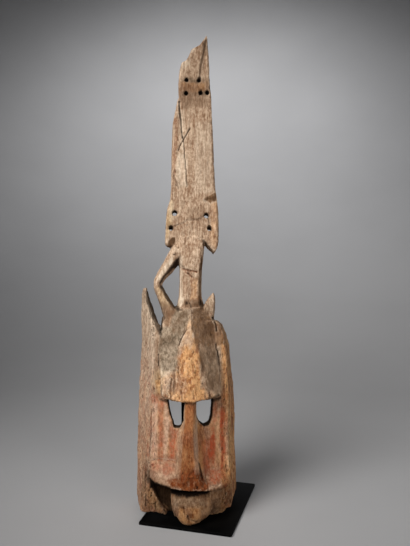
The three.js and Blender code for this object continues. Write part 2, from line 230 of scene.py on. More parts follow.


# Each row: width, depth, darkening by stains and painted shade, wander, rearmost Y, then the X and Z of the
# path.
SCORE_ROWS = (
    (1.9, 3.5, 0.9, 0.6, 0, -15.5, 820.5, -14.8, 804.8, -11.9, 786.3, -10.8, 769.6, -8.2, 752.8),
    (1.3, 2.2, 0.6, 0.6, 0, -8.2, 752.8, -5.5, 730.4, -3.8, 705.9, -1.6, 685.1, -0.9, 660.5),
    (1.7, 2.4, 0.7, 0.6, 0, 5.1, 770.6, -0.6, 760.3, -6.3, 751),
    (1.4, 2.2, 0.6, 0.6, 0, -6.3, 751, -12.1, 741.6, -17.1, 729.4),
    (2.6, 2, 0.4, 1.5, 0, 36.2, 933.5, 32.4, 911.7, 26.2, 893.4, 22.9, 864.1),
    (1.9, 0.9, 0.4, 0.6, 0, -26.5, 683.2, -21.2, 670, -16.3, 656.7),
    (2.4, 0.8, -1, 0.6, 0, 31.8, 635.6, 42.6, 626.8),
    (2.8, 0.9, 0.33, 2.5, 0, -24.3, 584.9, -10.8, 590.6, 0.8, 597.7, 20.1, 598, 29.8, 603.8),
    (1.3, 1.2, 0.55, 0.6, 0, 39.1, 601, 42.7, 589.4),
    (2.6, 2.2, 0.25, 1.2, 0, -10.8, 502.4, 1.9, 500, 17.5, 497.1),
    (2.6, 1.8, 0.2, 1.2, 0, -5.8, 497.3, 1.9, 493.3, 7.7, 487),
    (1.9, 1.2, 0.6, 0.6, 0, -10, 507.9, -7, 505.9),
    (1.5, 1, 0.5, 0.6, 0, -3.9, 504.7, 0, 503.1),
    (1.9, 2.2, 0.6, 1.5, 0, -19.5, 431.5, -17.6, 423.6, -12.2, 424.7),
    (1.9, 1.6, 0.5, 1.5, 0, 2.4, 435.8, 4.3, 429.9, 7, 420),
    (1.6, 2.2, 0.75, 0.6, 0, -4.3, 389.7, -10, 380.9, -15.8, 370.5, -20.4, 358.9),
    (1.8, 2.2, 0.4, 0.6, -30, -57.9, 407.7, -55, 396, -54.7, 384.2),
    (1.9, 3.2, 0.8, 0.6, -30, -59.3, 337.7, -59.2, 325.9, -59.1, 316),
    (2.6, 3, 0.85, 0.6, -30, 47.3, 408.7, 53.2, 394.8, 54.4, 382.9),
    (2.2, 2.6, 0.55, 1.6, -30, 52.5, 357, 57.6, 337.1, 60.4, 315.2),
    (2.6, 1.2, 0.2, 2, 0, 20, 359.9, 23, 336.5, 26.8, 312.9),
    (2, 2.6, 0.5, 1.2, -40, -73, 228, -74.2, 187.5, -76.4, 156.9, -79.1, 124.2),
    (1.5, 2, 0.6, 0.6, 0, 17.5, 127, 19.8, 112.7, 24.5, 95),
    (1.7, 2, 0.45, 0.6, 0, 30.2, 96.4, 33.7, 88.1, 34.1, 75.9),
    (1.8, 1, 0.1, 1.6, 0, -77.2, 124.2, -61.6, 128.1, -42, 126.6, -34.2, 126.7),
    (1.5, 0.4, -0.6, 0.6, 0, -75.2, 126.1, -57.6, 130.4, -26.3, 128.4),
    (1.5, 1.6, 0.55, 0.6, 0, 38.2, 85, 49.9, 81.7, 61.6, 84.5),
    (1.9, 2.6, 0.6, 1.6, 0, -17.2, 259.2, -16, 277.6, -14, 291.2),
    (2.6, 3, 0.6, 2.2, 0, -37.2, 263.2, -37.9, 280.9, -35.1, 297.3),
    (2.4, 2.6, 0.5, 2.4, 0, -32.2, 269, -29.8, 288.5, -28.9, 313.9),
    (2, 2.2, 0.45, 2.2, 0, -21.8, 294.2, -20.5, 319.5),
    (1.9, 2.4, 0.6, 0.6, 0, -53.9, 264.4, -53.3, 284),
    (1.6, 1.6, 0.4, 0.6, 0, 5.3, 276.9, 7.2, 261.2),
    (2.2, 1.6, 0.35, 2.2, 0, 25, 288.9, 33.8, 276.5, 37.3, 269.7, 42.3, 260.9),
    (1.6, 1.6, 0.5, 0.6, 0, -14, 47.5, -11.8, 31.9),
    (2.2, 2.8, 0.9, 0.6, 0, -6.4, 30.5, -5.2, 24.3),
    (1.6, 1.8, 0.55, 0.6, 0, -5.2, 23.5, 2.5, 21.1, 11, 16.2),
    (1.7, 1.8, 0.55, 0.6, 0, -71.8, 70.5, -62, 49.3, -50.3, 25.8, -45.2, 12.1),
    (2.4, 3, 0.6, 0.6, -30, -86.8, 105.9, -86.8, 68.6, -86.8, 31),
    (1.5, 1, 0.4, 0.6, 0, 4.9, 423.7, 6.3, 388.7),
)
# Each row: tone, strength, softness, raggedness, rearmost Y, then the X and Z of the outline.
FRONT_ROWS = (
    # Cheek stripes, from the left wall to the nose and on to the right wall.
    (CHALK, 0.62, 4, 4, -50, -72, 243, -62, 243, -63, 123, -76, 124),
    (RED, 0.36, 6, 9, -50, -60, 250, -50, 249, -49, 168, -53, 124, -62, 124, -60, 189),
    (CHALK, 0.52, 5, 5, -50, -49, 242, -40, 230, -38, 197, -42, 169, -43, 124, -51, 124, -50, 169),
    (RED, 0.5, 7, 9, -50, -37, 194, -25, 190, -26, 153, -28, 124, -42, 125, -41, 158),
    (RED, 0.4, 6, 6, -60, 23, 168, 39, 168, 41, 106, 29, 98, 23, 132),
    (RUST, 0.32, 6, 9, -50, 27, 188, 47, 195, 47, 175, 37, 154, 27, 163),
    (RUST, 0.35, 7, 7, -50, 37, 182, 53, 190, 55, 149, 47, 104, 35, 121),
    (RED, 0.8, 7, 8, -50, 42, 170, 49, 186, 52, 166, 48, 116, 40, 133, 39, 154),
    (RED, 0.35, 6, 8, -50, 45, 239, 53, 242, 53, 182, 45, 178),
    (RUST, 0.22, 8, 8, -50, 47, 190, 63, 189, 63, 102, 47, 103),
    (RED, 0.68, 7, 9, -50, 64, 229, 70, 217, 71, 147, 68, 101, 62, 126, 63, 172),
    (CHALK, 0.2, 4, 5, -50, 71, 184, 80, 183, 81, 100, 71, 101),
    # Left wall: patina, red stains, and painted shade at the dark edge of its lower end and over its lower
    # part.
    (RED, 0.8, 4, 5, -40, -91, 153, -78, 153, -78, 128, -91, 129),
    (RED, 0.4, 5, 6, -40, -88, 188, -75, 188, -75, 167, -86, 172),
    (RED, 0.3, 6, 9, -40, -95, 265, -60, 260, -60, 244, -95, 241),
    (OCHRE, 0.3, 14, 12, -50, -73, 310, -52, 309, -52, 266, -64, 254, -80, 266),
    (BARE, 0.7, 3, 4, -50, -64, 287, -55, 287, -56, 259, -64, 259),
    (GREY, 0.6, 3, 4, -40, -86, 131, -79, 122, -80, 81, -89, 81, -89, 114),
    (CREVICE, 0.6, 3, 3, -40, -89, 106, -85, 110, -85, 31, -89, 31),
    (CREVICE, 0.6, 3, 3, -40, -84, 110, -78, 89, -75, 81, -84, 77, -87, 89),
    (OCHRE, 0.55, 4, 6, -30, -101, 115, -89, 114, -90, 31, -102, 44),
    (GREY, 0.35, 4, 6, -30, -101, 115, -89, 114, -90, 31, -102, 44),
    (SHADE, 0.5, 14, 6, -20, -104, 131, -38, 88, -38, 8, -106, 24),
    # Muzzle: chalky facet, reddish oval facet and the broken, pitted lip.
    (CHALK, 0.36, 5, 8, -48, -78, 124, -23, 124, -25, 104, -42, 94, -56, 85, -78, 100),
    (SHADE, 0.22, 9, 9, -48, -79, 136, -19, 138, -19, 93, -50, 86, -80, 96),
    (RED, 0.32, 9, 12, -48, -52, 119, -43, 126, -31, 126, -33, 110, -43, 102, -50, 106),
    (RED, 0.25, 7, 10, -48, -75, 119, -58, 123, -58, 112, -74, 109),
    (RUST, 0.3, 8, 8, -48, 29, 114, 82, 112, 86, 88, 62, 74, 31, 78),
    (RED, 0.45, 8, 9, -48, 41, 104, 62, 107, 76, 100, 68, 90, 47, 83, 37, 92),
    (PALE, 0.55, 1.5, 2, -48, 35, 80, 62, 77, 80, 91, 82, 97, 64, 84, 39, 84),
    (PALE, 0.4, 1.5, 2, -48, 38, 110, 59, 108, 81, 105, 81, 101, 59, 104, 38, 106),
    (RUST, 0.95, 3, 4, -88, -48, 105, -20, 100, -12, 122, 14, 121, 28, 100, 38, 92, 36, 78, -1, 73, -24, 81,
     -47, 95),
    (SHADE, 0.35, 5, 5, -84, -53, 107, 18, 109, 30, 92, 30, 76, -1, 69, -51, 91),
    (BARE, 0.5, 3, 6, -88, -22, 103, -9, 103, -9, 82, -20, 85),
    (BARE, 0.8, 4, 6, -88, 10, 98, 26, 93, 26, 79, 12, 80),
    (BARE, 0.6, 3, 5, -88, -28, 91, -17, 89, -17, 81, -28, 83),
    (CREVICE, 0.9, 1.5, 1, -88, 10, 88, 16, 88, 14, 82, 10, 82),
    (CHALK, 0.9, 1.5, 1, -88, -28, 86, -18, 84, -18, 81, -28, 82),
    # Nose: worn bare, redder towards its foot.
    (BARE, 0.95, 4, 3, -88, -11, 264, 9, 264, 5, 201, 6, 149, -14, 150, -10, 202),
    (BARE, 0.7, 6, 4, -86, -13, 158, 6, 157, 16, 97, -20, 98),
    (RUST, 0.8, 36, 6, -86, -14, 190, 6, 189, 16, 89, -22, 90),
    (RUST, 0.6, 10, 8, -88, -11, 253, 9, 252, 7, 189, -12, 190),
    (CHECK, 0.6, 4, 5, -84, -12, 253, 11, 252, 14, 101, -20, 102),
    (SHADE, 0.25, 8, 5, -84, -13, 182, 5, 181, 7, 85, -24, 86),
    (RUST, 0.4, 5, 5, -88, -12, 202, 3, 205, 9, 181, 5, 161, -12, 162),
    # Forehead: grey left plane, light ridge, and a right plane dark from patina and from painted shade.
    (GREY, 0.95, 5, 6, -30, -56, 388, -36, 393, -31, 413, -21, 426, 2, 426, 2, 408, -10, 381, -20, 358, -22,
     330, -29, 311, -54, 312, -60, 339),
    (DARK, 0.6, 5, 6, -30, -46, 424, -22, 424, -32, 408, -36, 391, -48, 397, -46, 414),
    (RUST, 0.35, 4, 6, -30, -42, 424, -26, 422, -34, 406, -40, 395),
    (SHADE, 0.35, 8, 8, -30, -34, 423, 2, 424, 2, 411, -17, 388, -34, 392),
    (SHADE, 0.5, 6, 7, -30, -56, 374, -19, 378, -23, 356, -56, 351),
    (PALE, 0.4, 5, 6, -30, -48, 352, -24, 353, -22, 337, -45, 332),
    (PALE, 0.42, 3, 4, -40, -12, 408, 0, 413, 4, 406, 5, 378, 4, 347, -1, 328, -20, 332, -18, 359, -8, 382,
     -4, 392),
    (BARE, 0.4, 4, 4, -40, -10, 400, 1, 413, 5, 406, 6, 370, 5, 328, -18, 328, -18, 359, -8, 382),
    (DARK, 0.6, 5, 8, 0, 47, 413, 59, 405, 69, 381, 73, 357, 49, 353),
    (BARE, 0.35, 5, 8, 0, 49, 409, 59, 401, 69, 377, 73, 353, 53, 353),
    (DARK, 0.8, 4, 8, -30, 5, 435, 23, 434, 39, 415, 48, 403, 52, 379, 48, 358, 37, 356, 12, 364, 6, 388),
    (DARK, 0.5, 6, 9, -30, 7, 367, 51, 360, 59, 322, 61, 255, 30, 280, 22, 315, 20, 351),
    (GREY, 0.55, 8, 9, -30, 32, 357, 52, 353, 60, 305, 62, 258, 32, 278, 30, 330),
    (SHADE, 0.6, 3, 4, -30, 19, 363, 26, 348, 30, 312, 22, 308, 20, 336),
    (BARE, 0.7, 5, 6, -40, 5, 377, 18, 369, 20, 330, 19, 287, 4, 288, 4, 350),
    (PALE, 0.3, 10, 10, -60, -13, 306, 17, 301, 17, 262, -14, 263),
    (PALE, 0.7, 5, 6, -60, -56, 324, -34, 324, -38, 296, -42, 265, -55, 264),
    # Ear: its slanted inner face.
    (PALE, 0.35, 6, 8, -20, -82, 450, -74, 428, -65, 405, -63, 379, -84, 380),
    # Right wall: worn bare, ochre lower down.
    (BARE, 0.8, 8, 10, -10, 67, 355, 81, 355, 91, 248, 94, 116, 80, 116, 77, 248),
    (OCHRE, 0.35, 8, 12, -10, 75, 244, 91, 244, 94, 99, 78, 100),
    # Strut and stump: light faces between flanks dark with painted shade.
    (OCHRE, 0.3, 5, 6, 0, -62, 474, -50, 462, -37, 443, -33, 431, -51, 431, -58, 455),
    (DARK, 0.55, 4, 5, 0, -51, 438, -31, 433, -20, 421, -45, 418),
    (CREVICE, 0.8, 1.5, 1, 0, -27, 535, -23, 535, -23, 530, -27, 530),
    (CREVICE, 0.8, 2.5, 2, 0, 23, 444, 31, 438, 41, 448, 33, 432, 29, 424, 21, 432),
    (GREY, 0.4, 5, 7, -20, 35, 437, 48, 454, 50, 419, 31, 415),
    (CHECK, 0.6, 4, 5, -20, 35, 437, 48, 458, 50, 419, 31, 415),
    # Stem: pale left side, right edge dark with painted shade, rusty cuts, and painted shade where its foot
    # overlaps the forehead.
    (PALE, 0.65, 3, 3, 0, -17, 528, -10, 528, -11, 442, -18, 430),
    (SHADE, 0.95, 2, 2, 0, 26, 532, 21, 500, 20, 471, 20, 434, 26, 433, 26, 471, 28, 516),
    (BARE, 0.35, 5, 6, 0, 5, 486, 19, 485, 19, 442, 5, 442),
    (PALE, 0.8, 1.5, 2, 0, -18, 445, -8, 447, -10, 435, -15, 424, -19, 428),
    (DARK, 0.6, 3, 4, 0, -8, 443, 4, 443, 5, 431, 15, 425, 3, 423, -10, 431),
    (CREVICE, 0.8, 2, 1.5, 0, -6, 439, -1, 439, -1, 434, -6, 434),
    (DARK, 0.6, 4, 5, 0, 7, 443, 23, 439, 31, 427, 11, 423),
    (RUST, 0.6, 1.5, 2, 0, -12, 504, 2, 502, 18, 499, 18, 495, 2, 497, -12, 500),
    (RUST, 0.5, 1.5, 2, 0, -7, 500, 3, 496, 10, 488, 7, 485, 1, 491, -7, 496),
    # Plank and barbs: stained band with the lashing holes, bleached and speckled parts, and painted shade
    # on the right edges and along the top.
    (DARK, 0.3, 8, 9, 0, -13, 866, 41, 866, 41, 829, -14, 829),
    (GREY, 0.8, 3, 3, 0, 1, 863, 11, 863, 19, 857, 5, 855),
    (GREY, 0.8, 2, 2, 0, 28, 839, 35, 840, 36, 833, 28, 833),
    (BARE, 0.55, 6, 9, 0, -12, 856, 36, 857, 36, 839, -12, 838),
    (DARK, 0.35, 5, 9, 0, -8, 827, 41, 828, 41, 811, -8, 810),
    (SHADE, 0.3, 4, 5, 0, -8, 820, 3, 820, 3, 809, -8, 809),
    (DARK, 0.5, 4, 5, 0, 30, 926, 38, 937, 39, 912, 26, 875, 22, 864, 30, 904),
    (PALE, 0.6, 4, 5, 0, -10, 896, 6, 898, 7, 886, -8, 882),
    (PALE, 0.8, 1.5, 2, 0, 10, 918, 16, 919, 12, 911, 8, 909),
    (PALE, 0.6, 9, 9, 0, -20, 723, -1, 723, -1, 662, -16, 662, -22, 696),
    (CHALK, 0.4, 4, 5, 0, -14, 715, -6, 715, -3, 674, -12, 666),
    (PALE, 0.3, 4, 5, 0, -14, 805, -6, 805, -6, 730, -12, 730),
    (PALE, 0.28, 8, 9, 0, 17, 783, 47, 783, 51, 651, 16, 647),
    (RUST, 0.4, 3, 8, 0, -25, 786, -18, 790, -19, 726, -25, 681, -28, 681, -26, 730),
    (CHECK, 0.55, 5, 9, 0, -29, 801, -14, 808, -14, 636, -34, 628),
    (PALE, 0.5, 2, 5, 0, -28, 777, -24, 777, -24, 730, -28, 730),
    (OCHRE, 0.35, 4, 6, 0, -37, 628, -30, 636, -30, 590, -34, 578, -38, 563, -42, 563, -42, 588),
    (PALE, 0.5, 3, 4, 0, -36, 628, -29, 636, -29, 594, -35, 594),
    (BARE, 0.28, 6, 8, 0, 43, 630, 58, 630, 58, 543, 45, 547, 43, 588),
    (SHADE, 0.6, 1.5, 2, 0, 56, 626, 60, 626, 61, 547, 56, 547),
    (SHADE, 0.55, 1.5, 2, 0, 44, 787, 49, 787, 55, 647, 50, 647, 47, 712),
    (DARK, 1, 2, 4, 0, 31, 635, 36, 641, 43, 645, 53, 650, 56, 647, 56, 634, 48, 632, 44, 627, 40, 631),
    (SHADE, 0.7, 2, 4, 0, 36, 637, 41, 641, 53, 645, 56, 641, 55, 635, 45, 634),
    (DARK, 0.3, 5, 7, 0, 24, 628, 36, 628, 36, 605, 24, 605),
    (DARK, 0.28, 6, 8, 0, -3, 618, 28, 624, 32, 593, 1, 597),
    (CREVICE, 0.75, 2, 1.5, 0, 28, 560, 34, 559, 42, 547, 51, 535, 49, 531, 38, 543, 34, 551, 30, 545),
    (SHADE, 0.3, 16, 9, 0, -11, 906, 41, 937, 41, 824, -12, 823),
    # Chin, jaw and splinter, with painted shade under the lip, over the chin and on the jaw's right side.
    (BARE, 0.48, 14, 9, -70, -22, 48, 14, 50, 16, 24, -1, 12, -19, 19),
    (GREY, 0.5, 6, 7, -66, -34, 68, 26, 65, 30, 46, -34, 45),
    (PALE, 0.5, 4, 4, -60, -35, 64, -24, 64, -22, 42, -30, 42),
    (DARK, 0.4, 12, 9, -40, 19, 70, 90, 88, 90, 26, 19, 16),
    (SHADE, 0.25, 10, 6, -40, 16, 74, 90, 92, 90, 26, 19, 12),
    (SHADE, 0.45, 9, 6, -60, -43, 81, 30, 78, 26, 5, -28, 7),
    (SHADE, 0.75, 7, 4, -60, -43, 80, 38, 77, 38, 58, -43, 62),
    (OCHRE, 0.3, 5, 6, -30, -78, 64, -58, 43, -58, 18, -82, 27),
)
# Each row: as above, but with the foremost and rearmost Y and whether wood that looks
# another way is marked too.
DEEP_ROWS = (
    # Nose: its sides, and the cheeks beside them; its right flank is pale paint lifted with painted light,
    # and the fissure at its foot holds painted shade.
    (GREY, 0.35, 5, 9, -98, -60, False, -27, 162, -16, 190, -16, 96, -29, 97),
    (RUST, 0.45, 4, 4, -104, -72, False, -16, 209, -8, 209, -8, 133, -17, 117),
    (PALE, 1, 2, 3, -106, -72, False, 7, 222, 15, 222, 16, 168, 18, 130, 21, 110, 7, 111),
    (BARE, 0.2, 2, 3, -106, -72, False, 7, 222, 17, 222, 18, 168, 20, 130, 23, 110, 7, 111),
    (CHALK, 0.3, 2, 3, -106, -72, False, 7, 211, 13, 210, 15, 169, 17, 130, 19, 110, 8, 110),
    (CREVICE, 0.9, 1.5, 1.5, -108, -70, True, 16, 133, 19, 129, 26, 98, 23, 95, 18, 112),
    (BARE, 0.6, 4, 4, -97, -60, False, 14, 204, 26, 204, 32, 159, 32, 114, 18, 115, 15, 151),
    (RUST, 0.35, 4, 4, -97, -60, False, 14, 196, 22, 196, 25, 159, 24, 118, 18, 119, 15, 151),
    # Forehead: the shadow under its lower edge and above the eye slots.
    (CREVICE, 0.7, 2, 2, -110, -60, False, -55, 264, -19, 257, 19, 257, 59, 265, 59, 258, 19, 251, -19, 251,
     -55, 258),
    (CREVICE, 0.8, 3, 2, -88, -50, False, -60, 254, -18, 246, -18, 239, -57, 247),
    (CREVICE, 0.8, 3, 2, -88, -50, False, 15, 242, 64, 254, 64, 246, 15, 235),
    # Ear: painted shade on its slanted inner face.
    (CREVICE, 0.75, 2.5, 3, -62, 60, True, -81, 458, -76, 458, -67, 435, -57, 405, -52, 376, -57, 378, -64,
     394, -75, 419, -82, 442),
    # Strut: light face between flanks dark with painted shade.
    (CREVICE, 0.8, 2.5, 3, -130, 0, True, -53, 473, -44, 460, -35, 446, -27, 436, -17, 428, -19, 420, -30,
     428, -39, 440, -48, 456, -55, 468),
    (CREVICE, 0.55, 2.5, 3, -130, 0, True, -68, 468, -65, 464, -59, 448, -52, 432, -47, 418, -45, 404, -52,
     404, -58, 422, -64, 440, -70, 458),
    (CREVICE, 0.8, 2.5, 3, -130, 0, True, -20, 529, -17, 504, -31, 499, -44, 487, -53, 472, -57, 475, -49,
     489, -36, 504, -27, 518),
    (PALE, 0.75, 3, 3, -130, 0, True, -65, 474, -56, 492, -42, 511, -29, 528, -29, 519, -42, 499, -58, 478),
    # Left barb, and the gap between it, the strut and the stem, dark with painted shade.
    (DARK, 1, 2, 1, -60, 10, True, -40, 545, -37, 557, -30, 564, -24, 564, -24, 555, -30, 545),
    (SHADE, 0.6, 2, 1, -60, 10, True, -40, 545, -37, 557, -30, 564, -24, 564, -24, 555, -30, 545),
    (CREVICE, 0.95, 2, 1.5, -60, 10, True, -17, 528, -16, 504, -29, 502, -34, 504, -26, 516),
    # Splinter: painted shade on its dark inner side.
    (CREVICE, 0.7, 2, 2, -64, -44, False, -62, 49, -56, 38, -42, 12, -45, 10, -60, 34),
    # Deep, unlit places: the mouth and the broken corner.
    (CREVICE, 1, 3, 3, -99.5, -56, True, -78, 90, 0, 83, 28, 81, 44, 73, 30, 66, 0, 63, -26, 66, -78, 68),
    (CREVICE, 0.9, 4, 3, -58, -20, True, -80, 84, -34, 84, -32, 8, -42, 8, -44, 20, -55, 34, -66, 51),
)


def path_distance(flat: np.ndarray, path: tuple[Point2, ...]) -> np.ndarray:
    """Distance from points to a bent line in a plane.

    Args:
        flat: Two coordinates for each point.
        path: Corners of the line.

    Returns:
        The least distance for each point.
    """
    best = np.full(len(flat), 1e9)
    for start, end in zip(path, path[1:]):
        a, b = np.asarray(start, float), np.asarray(end, float)
        run = b - a
        t = np.clip(((flat - a) @ run) / max(run @ run, 1e-9), 0.0, 1.0)
        best = np.minimum(best, np.linalg.norm(flat - (a + t[:, None] * run), axis=1))
    return best


def inside_outline(flat: np.ndarray, outline: tuple[Point2, ...]) -> np.ndarray:
    """Signed distance to a closed outline, positive inside.

    Args:
        flat: Two coordinates for each point.
        outline: Corners of the outline.

    Returns:
        One signed distance for each point.
    """
    distance = path_distance(flat, outline + (outline[0],))
    within = np.zeros(len(flat), bool)
    for (x0, z0), (x1, z1) in zip(outline, outline[1:] + (outline[0],)):
        if z0 == z1:
            continue
        crosses = (flat[:, 1] >= min(z0, z1)) & (flat[:, 1] < max(z0, z1))
        at = x0 + (flat[:, 1] - z0) * (x1 - x0) / (z1 - z0)
        within ^= crosses & (flat[:, 0] < at)
    return np.where(within, distance, -distance)


class Skin:
    """The points of one dense mesh, with their normals and neighbours, in millimetres."""

    def __init__(self, piece: bpy.types.Object) -> None:
        """Reads the mesh.

        Args:
            piece: The piece whose mesh is read.
        """
        mesh = piece.data
        self.points = self._read(mesh.vertices, "co") / MM
        self.normals = self._read(mesh.vertex_normals, "vector")
        self.seen = self.points[:, [0, 2]]  # X and Z, as seen from the front
        self.front = ramp(0.1, 0.55, -self.normals[:, 1])
        edges = np.zeros(len(mesh.edges) * 2, np.int32)
        mesh.edges.foreach_get("vertices", edges)
        self._from, self._to = edges.reshape(-1, 2).T
        self._valence = self._gather(np.ones(len(self.points))).clip(1.0)

    @staticmethod
    def _read(rows: object, name: str) -> np.ndarray:
        """Reads one vector for each point."""
        values = np.zeros(len(rows) * 3, np.float32)
        rows.foreach_get(name, values)
        return values.reshape(-1, 3).astype(np.float64)

    def _gather(self, values: np.ndarray) -> np.ndarray:
        """Sums each point's neighbours."""
        count = len(self.points)
        total = np.bincount(self._from, values[self._to], count)
        return total + np.bincount(self._to, values[self._from], count)

    def blur(self, values: np.ndarray, times: int) -> np.ndarray:
        """Averages one number for each point over its neighbours, some times over."""
        for _ in range(times):
            values = 0.5 * values + 0.5 * self._gather(values) / self._valence
        return values

    def hollowness(self, times: int) -> np.ndarray:
        """How many millimetres each point lies below the surface blurred some times over."""
        spread = np.stack([self.blur(self.points[:, k], times) for k in range(3)], 1)
        return np.einsum("ij,ij->i", spread - self.points, self.normals)

    def around(
        self, path: tuple[Point2, ...], reach: float, near: float, far: float
    ) -> np.ndarray:
        """Finds the points that lie about a path, between two depths.

        Args:
            path: Corners of the path, as seen from the front.
            reach: How far from its corners' box they may lie.
            near: The foremost Y.
            far: The rearmost Y.

        Returns:
            Whether each point is one of them.
        """
        low, high = np.min(path, 0) - reach, np.max(path, 0) + reach
        within = (self.seen > low).all(1) & (self.seen < high).all(1)
        return within & (self.points[:, 1] > near) & (self.points[:, 1] < far)


class Sheet:
    """A material's node sheet, with short ways to lay and join nodes."""

    def __init__(self, name: str) -> None:
        """Starts an empty material.

        Args:
            name: The material's name.
        """
        self.material = bpy.data.materials.new(name)
        self.material.use_nodes = True
        self.tree = self.material.node_tree
        self.tree.nodes.clear()
        output = self._lay("OutputMaterial")
        self.shader = self._lay("BsdfPrincipled")
        self.join(self.shader.outputs["BSDF"], output.inputs["Surface"])
        self.place = self._lay("TexCoord").outputs["Object"]

    def _lay(self, kind: str) -> bpy.types.Node:
        """Lays one node."""
        return self.tree.nodes.new("ShaderNode" + kind)

    def join(self, source: bpy.types.NodeSocket, target: bpy.types.NodeSocket) -> None:
        """Links one socket to another."""
        self.tree.links.new(source, target)

    def feed(self, value: object, target: bpy.types.NodeSocket) -> None:
        """Links a socket, or sets a plain value."""
        if isinstance(value, bpy.types.NodeSocket):
            self.join(value, target)
        elif isinstance(value, tuple) and target.type == "RGBA":
            target.default_value = (*value, 1.0)
        else:
            target.default_value = value

    def coat(self, colour: object, roughness: object, gloss: float) -> None:
        """Gives the shader its colour, its roughness and how much it mirrors."""
        self.feed(colour, self.shader.inputs["Base Color"])
        self.feed(roughness, self.shader.inputs["Roughness"])
        self.shader.inputs["Specular IOR Level"].default_value = gloss

    def layer(self, name: str) -> list[bpy.types.NodeSocket]:
        """Reads the three channels of one stored colour layer of the mesh."""
        stored = self._lay("Attribute")
        stored.attribute_name = name
        split = self._lay("SeparateColor")
        self.join(stored.outputs["Color"], split.inputs["Color"])
        return list(split.outputs)

    def noise(
        self, size: tuple, detail: float, roughness: float, distortion: float = 0.0
    ) -> bpy.types.NodeSocket:
        """Lays solid noise on the object's own coordinates.

        Args:
            size: Width of one lump along X, Y and Z, in millimetres.
            detail: How many finer layers.
            roughness: How strong they are.
            distortion: How much the pattern swirls.

        Returns:
            The noise value's socket.
        """
        scale = self._lay("VectorMath")
        scale.operation = "MULTIPLY"
        self.join(self.place, scale.inputs[0])
        scale.inputs[1].default_value = tuple(1.0 / (s * MM) for s in size)
        texture = self._lay("TexNoise")
        for name, value in (
            ("Scale", 1.0), ("Detail", detail), ("Roughness", roughness), ("Distortion", distortion),
            ("Vector", scale.outputs["Vector"]),
        ):
            self.feed(value, texture.inputs[name])
        return texture.outputs["Fac"]

    def math(self, kind: str, *values: object) -> bpy.types.NodeSocket:
        """Lays one sum, product or the like of sockets and numbers."""
        node = self._lay("Math")
        node.operation = kind
        for value, target in zip(values, node.inputs):
            self.feed(value, target)
        return node.outputs["Value"]

    def total(self, *terms: tuple) -> bpy.types.NodeSocket:
        """Adds up sockets, each times its weight."""
        return reduce(partial(self.math, "ADD"), (self.math("MULTIPLY", *term) for term in terms))

    def rise(self, value: object, low: float, high: float) -> bpy.types.NodeSocket:
        """Maps a value smoothly from 0 at low to 1 at high."""
        node = self._lay("MapRange")
        node.interpolation_type = "SMOOTHSTEP"
        for name, setting in (("Value", value), ("From Min", low), ("From Max", high)):
            self.feed(setting, node.inputs[name])
        return node.outputs["Result"]

    def blend(
        self, share: object, under: object, over: object, kind: str = "MIX"
    ) -> bpy.types.NodeSocket:
        """Lays one colour over another.

        Args:
            share: How much of the upper colour shows.
            under: The lower colour.
            over: The upper colour.
            kind: How the two are blended.

        Returns:
            The blended colour's socket.
        """
        node = self._lay("Mix")
        node.data_type = "RGBA"
        node.blend_type = kind
        for value, socket in ((share, MIX_SHARE), (under, MIX_UNDER), (over, MIX_OVER)):
            self.feed(value, node.inputs[socket])
        return node.outputs[2]

    def raise_by(self, height: object, distance_mm: float, strength: float) -> None:
        """Turns a height into fine relief on the shader.

        Args:
            height: Socket with heights from 0 to 1.
            distance_mm: How deep the relief is.
            strength: How much of it counts.
        """
        bump = self._lay("Bump")
        for name, value in (("Strength", strength), ("Distance", distance_mm * MM), ("Height", height)):
            self.feed(value, bump.inputs[name])
        self.join(bump.outputs["Normal"], self.shader.inputs["Normal"])


